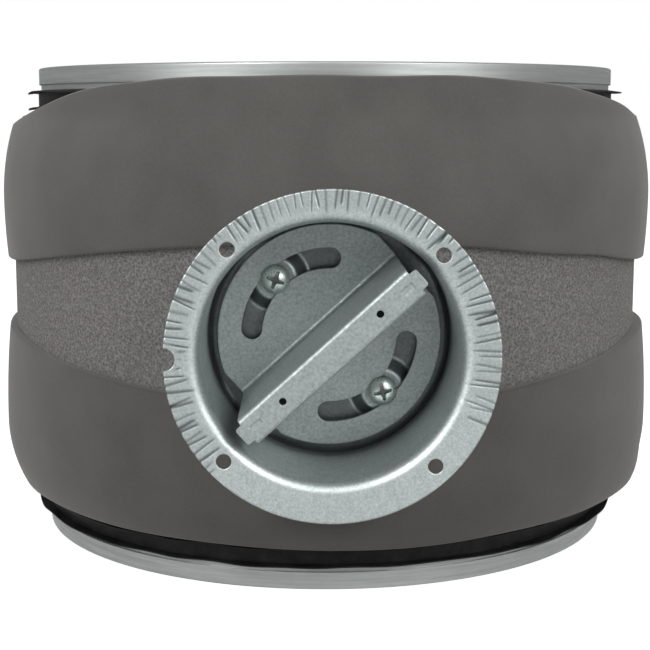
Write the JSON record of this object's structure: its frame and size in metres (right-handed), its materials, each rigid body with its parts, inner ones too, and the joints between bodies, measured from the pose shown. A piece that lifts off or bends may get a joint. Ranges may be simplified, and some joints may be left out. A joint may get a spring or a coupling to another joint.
{
  "type": "insulated volume damper",
  "caption": "Short round sheet-metal duct damper with lip-gasket spigots, foam insulation and a recessed turning handle that sets and locks an inner blade to regulate air flow.",
  "frame": {"origin": "centre of the lower spigot, at its end", "axes": "+Z along the duct axis towards the upper spigot, -Y towards the setting mechanism"},
  "size_m": [0.2284, 0.2562, 0.157],
  "materials": {
    "galvanised_steel": "spangled zinc, satin",
    "zinc_plated_steel": "bright zinc plate",
    "gasket_rubber": "matt black rubber",
    "base_foam": "open speckled grey foam",
    "band_foam": "smooth dark grey closed-cell foam",
    "bush_nylon": "natural nylon"
  },
  "bodies": {
    "casing": {"duct_sleeve": "galvanised_steel", "upper_gasket": "gasket_rubber", "lower_gasket": "gasket_rubber", "foam_sleeve": "base_foam", "upper_foam_band": "band_foam", "lower_foam_band": "band_foam", "mechanism_cup": "galvanised_steel", "cup_rivets": "galvanised_steel", "upper_locking_nut": "zinc_plated_steel", "lower_locking_nut": "zinc_plated_steel", "front_bush": "bush_nylon", "rear_bush": "bush_nylon", "shaft_seal": "gasket_rubber"},
    "blade_set": {"setting_handle": "galvanised_steel", "blade_shaft": "galvanised_steel", "damper_blade": "galvanised_steel", "blade_rivets": "galvanised_steel"},
    "upper_screw": {"upper_locking_screw": "zinc_plated_steel"},
    "lower_screw": {"lower_locking_screw": "zinc_plated_steel"}
  },
  "joints": [
    {"name": "blade_turn", "type": "hinge", "parent": "casing", "child": "blade_set", "pos_m": [0, 0, 0.0785], "axis": [0, -1, 0], "range_deg": [-43.7, 46.3]},
    {"name": "upper_screw_turn", "type": "hinge", "parent": "casing", "child": "upper_screw", "pos_m": [-0.01556, -0.1037, 0.09489], "axis": [0, -1, 0], "range_deg": [0, 360]},
    {"name": "lower_screw_turn", "type": "hinge", "parent": "casing", "child": "lower_screw", "pos_m": [0.01556, -0.1037, 0.06211], "axis": [0, -1, 0], "range_deg": [0, 360]}
  ]
}
